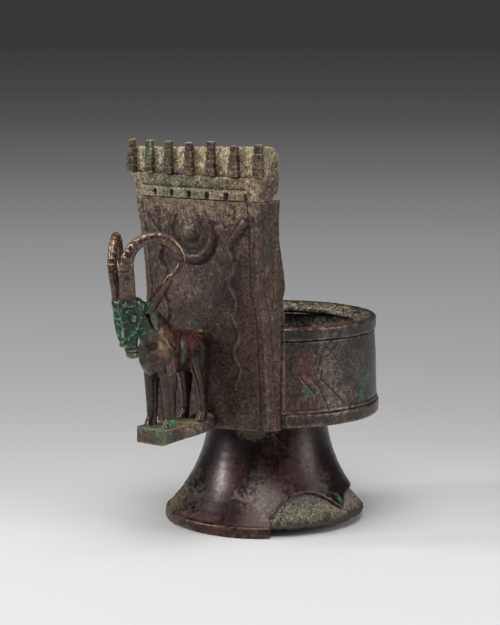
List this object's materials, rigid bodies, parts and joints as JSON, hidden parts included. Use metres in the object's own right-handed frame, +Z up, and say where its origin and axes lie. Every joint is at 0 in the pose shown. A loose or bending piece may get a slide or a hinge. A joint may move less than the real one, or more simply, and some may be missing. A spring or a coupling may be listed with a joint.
{
  "type": "bronze incense burner",
  "caption": "Round cup on a flared foot with a tall facade plate topped by stepped merlons, and a long-horned ibex on a plinth in front.",
  "frame": {"origin": "middle of the ground that the whole burner covers, at the level it stands on", "axes": "+Z up, parallel to the axis of the foot and cup, -Y towards the front with the ibex, +X to the right of someone facing that front"},
  "size_m": [0.1602, 0.24, 0.276],
  "materials": {
    "bronze_brown": "patinated bronze, dark brown",
    "bronze_dark": "patinated bronze, glossy dark brown",
    "bronze_crust": "bronze under a rough grey-tan and green crust",
    "bronze_green": "bronze with malachite green patina",
    "casting_core": "dry gritty casting core"
  },
  "bodies": {
    "root": {"foot_shell": "bronze_dark", "foot_core": "casting_core", "cup_base": "bronze_brown", "cup_wall": "bronze_brown", "cup_rim": "bronze_brown", "facade_panel": "bronze_brown", "parapet": "bronze_crust", "dentil_course": "bronze_crust", "merlon_1": "bronze_crust", "merlon_2": "bronze_crust", "merlon_3": "bronze_crust", "merlon_4": "bronze_crust", "merlon_5": "bronze_crust", "merlon_6": "bronze_crust", "merlon_7": "bronze_crust", "sun_disc": "bronze_brown", "crescent": "bronze_brown", "snake_left": "bronze_brown", "snake_right": "bronze_brown", "ibex_plinth": "bronze_green", "plinth_joint": "bronze_green", "ibex_body": "bronze_green", "horn_left": "bronze_brown", "horn_strut_left": "bronze_brown", "ear_left": "bronze_green", "horn_right": "bronze_brown", "horn_strut_right": "bronze_brown", "ear_right": "bronze_green"}
  },
  "joints": []
}
